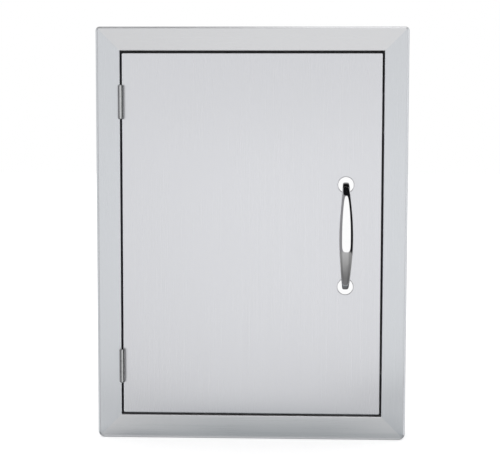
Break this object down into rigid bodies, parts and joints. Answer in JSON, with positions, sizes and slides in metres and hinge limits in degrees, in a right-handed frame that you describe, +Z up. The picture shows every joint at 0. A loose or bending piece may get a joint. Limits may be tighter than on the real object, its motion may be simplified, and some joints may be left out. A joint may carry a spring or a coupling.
{
  "type": "outdoor kitchen access door",
  "caption": "Flush brushed-steel access door in a mitred frame: folded double-lined door, barrel hinges in the reveal, bow handle on round rosettes, magnetic catches.",
  "frame": {"origin": "centre of the island's cut-out, on the island's front face, where the frame's rear lip seats", "axes": "+X towards the latch side, +Y into the island, +Z up; the door faces -Y"},
  "size_m": [0.4572, 0.1007, 0.6096],
  "materials": {
    "frame_steel": "brushed stainless, grain along each member",
    "door_steel": "brushed stainless, vertical grain",
    "stop_coat": "matt black coated steel, dark behind the reveal",
    "inner_steel": "mill finish stainless",
    "hinge_steel": "satin stainless",
    "polished_metal": "mirror polished",
    "plated_hardware": "zinc plated",
    "catch_plastic": "light grey moulded plastic",
    "plug_plastic": "black moulded plastic",
    "magnet": "sintered ferrite",
    "bumper_rubber": "black rubber"
  },
  "bodies": {
    "frame": {"frame_top_rail": "frame_steel", "frame_bottom_rail": "frame_steel", "frame_hinge_stile": "frame_steel", "frame_latch_stile": "frame_steel", "stop_top_angle": "stop_coat", "stop_bottom_angle": "stop_coat", "stop_hinge_angle": "stop_coat", "stop_latch_angle": "stop_coat", "stop_bumpers": "bumper_rubber", "upper_hinge_frame_leaf": "hinge_steel", "lower_hinge_frame_leaf": "hinge_steel", "upper_hinge_pin": "hinge_steel", "lower_hinge_pin": "hinge_steel", "frame_hinge_screws": "plated_hardware", "frame_hinge_nuts": "plated_hardware", "upper_catch_housing": "catch_plastic", "lower_catch_housing": "catch_plastic", "upper_catch_magnet": "magnet", "lower_catch_magnet": "magnet", "upper_catch_poles": "plated_hardware", "lower_catch_poles": "plated_hardware", "catch_screws": "plated_hardware"},
    "door": {"door_skin": "door_steel", "door_liner": "inner_steel", "door_stiffener": "inner_steel", "upper_hinge_door_leaf": "hinge_steel", "lower_hinge_door_leaf": "hinge_steel", "door_hinge_screws": "plated_hardware", "door_hinge_nuts": "plated_hardware", "handle_bow": "polished_metal", "upper_rosette": "polished_metal", "lower_rosette": "polished_metal", "handle_screws": "plated_hardware", "handle_washers": "plated_hardware", "handle_backing_plate": "inner_steel", "liner_plugs": "plug_plastic", "upper_strike_plate": "plated_hardware", "lower_strike_plate": "plated_hardware", "strike_rivets": "plated_hardware"}
  },
  "joints": [
    {"name": "door_swing", "type": "hinge", "parent": "frame", "child": "door", "pos_m": [-0.19115, -0.0174, 0], "axis": [0, 0, -1], "range_deg": [0, 175]}
  ]
}
